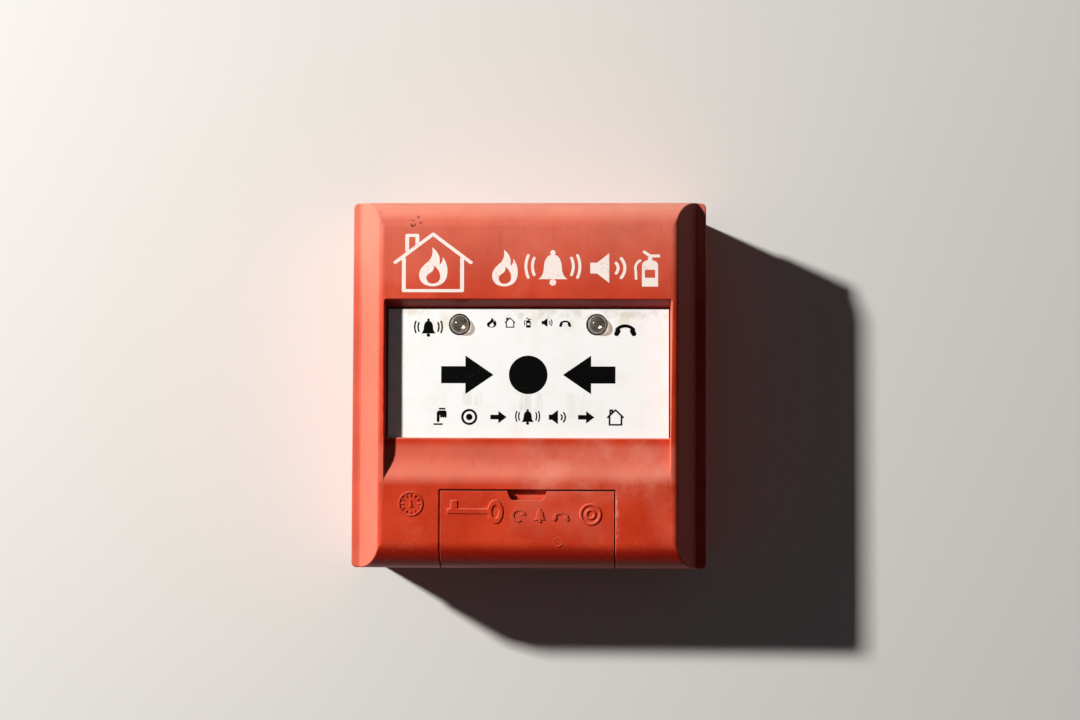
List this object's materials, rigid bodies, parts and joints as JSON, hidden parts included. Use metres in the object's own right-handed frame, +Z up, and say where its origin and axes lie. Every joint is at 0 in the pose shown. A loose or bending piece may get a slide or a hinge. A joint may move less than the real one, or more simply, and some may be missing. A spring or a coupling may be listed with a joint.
{
  "type": "manual fire alarm call point",
  "caption": "Wall-mounted red manual call point: square bevelled cover, recessed white push plate with arrows, lamp domes, and a hinged flap over a reset lock and telephone jack.",
  "frame": {"origin": "centre of the back box's rear face, which lies on the wall", "axes": "+Y goes into the wall, +Z is up, +X is to the right as seen from the front; the front faces -Y"},
  "size_m": [0.0954, 0.0459, 0.0984],
  "materials": {
    "red_plastic": "red moulded ABS, weathered: chalky and paler on top-facing surfaces",
    "white_plastic": "white moulded push plate, printed with black arrows and a dot",
    "black_plastic": "black moulded plastic",
    "grey_plastic": "grey moulded ABS",
    "ivory_plastic": "ivory polyamide or acetal",
    "red_button": "red acetal switch plunger",
    "clear_lens": "clear epoxy lamp body, greyish when unlit",
    "board_green": "glass-epoxy board with green solder mask",
    "aluminium_can": "sleeved aluminium can",
    "zinc_steel": "zinc-plated steel screws",
    "spring_steel": "bright spring wire",
    "nickel_plate": "nickel-plated metal",
    "brass": "plain brass contacts and clamps",
    "red_wire": "PVC-insulated lead",
    "black_wire": "PVC-insulated lead"
  },
  "bodies": {
    "base": {"back_box": "red_plastic", "terminal_block": "ivory_plastic", "terminal_clamp_1": "brass", "terminal_clamp_2": "brass", "terminal_clamp_3": "brass", "terminal_clamp_4": "brass", "terminal_clamp_5": "brass", "terminal_clamp_6": "brass", "terminal_screw_1": "zinc_steel", "terminal_screw_2": "zinc_steel", "terminal_screw_3": "zinc_steel", "terminal_screw_4": "zinc_steel", "terminal_screw_5": "zinc_steel", "terminal_screw_6": "zinc_steel", "pin_header": "black_plastic", "plug_pin_1": "brass", "plug_pin_2": "brass", "plug_pin_3": "brass", "plug_pin_4": "brass", "plug_pin_5": "brass", "plug_pin_6": "brass", "circuit_board": "board_green", "board_screw_1": "zinc_steel", "board_screw_2": "zinc_steel", "board_screw_3": "zinc_steel", "controller_chip": "black_plastic", "alarm_relay": "black_plastic", "capacitor_1": "aluminium_can", "capacitor_2": "aluminium_can", "switch_body": "black_plastic", "alarm_led": "clear_lens", "alarm_led_spacer": "black_plastic", "phone_led": "clear_lens", "phone_led_spacer": "black_plastic", "rear_tray": "grey_plastic", "chassis_plate": "grey_plastic", "chassis_screw_1": "zinc_steel", "chassis_screw_2": "zinc_steel", "chassis_screw_3": "zinc_steel", "chassis_screw_4": "zinc_steel", "front_cover": "red_plastic", "plate_spring_1": "spring_steel", "plate_spring_2": "spring_steel", "latch_spring": "spring_steel", "phone_jack": "black_plastic", "jack_nut": "nickel_plate", "jack_contact_1": "brass", "jack_contact_2": "brass", "jack_wire_1": "red_wire", "jack_wire_2": "black_wire"},
    "plate": {"press_plate": "white_plastic"},
    "plunger": {"switch_plunger": "red_button"},
    "lock_barrel": {"reset_barrel": "nickel_plate", "reset_cam": "ivory_plastic", "barrel_clip": "nickel_plate"},
    "latch": {"latch_slider": "ivory_plastic"},
    "flap": {"service_flap": "red_plastic"}
  },
  "joints": [
    {"name": "plate_press", "type": "slide", "parent": "base", "child": "plate", "axis": [0, 1, 0], "range_m": [0, 0.003], "stiffness_N_per_m": 2000, "springref_m": -0.002, "deforming": ["plate_spring_1", "plate_spring_2"]},
    {"name": "plunger_slide", "type": "slide", "parent": "base", "child": "plunger", "axis": [0, 1, 0], "range_m": [0, 0.001]},
    {"name": "reset_turn", "type": "hinge", "parent": "base", "child": "lock_barrel", "pos_m": [-0.014, -0.036, -0.0328], "axis": [0, 1, 0], "range_deg": [0, 90]},
    {"name": "latch_slide", "type": "slide", "parent": "base", "child": "latch", "axis": [0, 0, -1], "range_m": [0, 0.002], "stiffness_N_per_m": 1500, "springref_m": -0.002, "deforming": ["latch_spring"]},
    {"name": "flap_hinge", "type": "hinge", "parent": "base", "child": "flap", "pos_m": [0, -0.031, -0.0465], "axis": [1, 0, 0], "range_deg": [0, 95]}
  ],
  "couplings": [
    {"joint": "plunger_slide", "follows": "plate_press", "ratio": 0.3333},
    {"joint": "reset_turn", "follows": "latch_slide", "rad_per_m": 785.39}
  ]
}
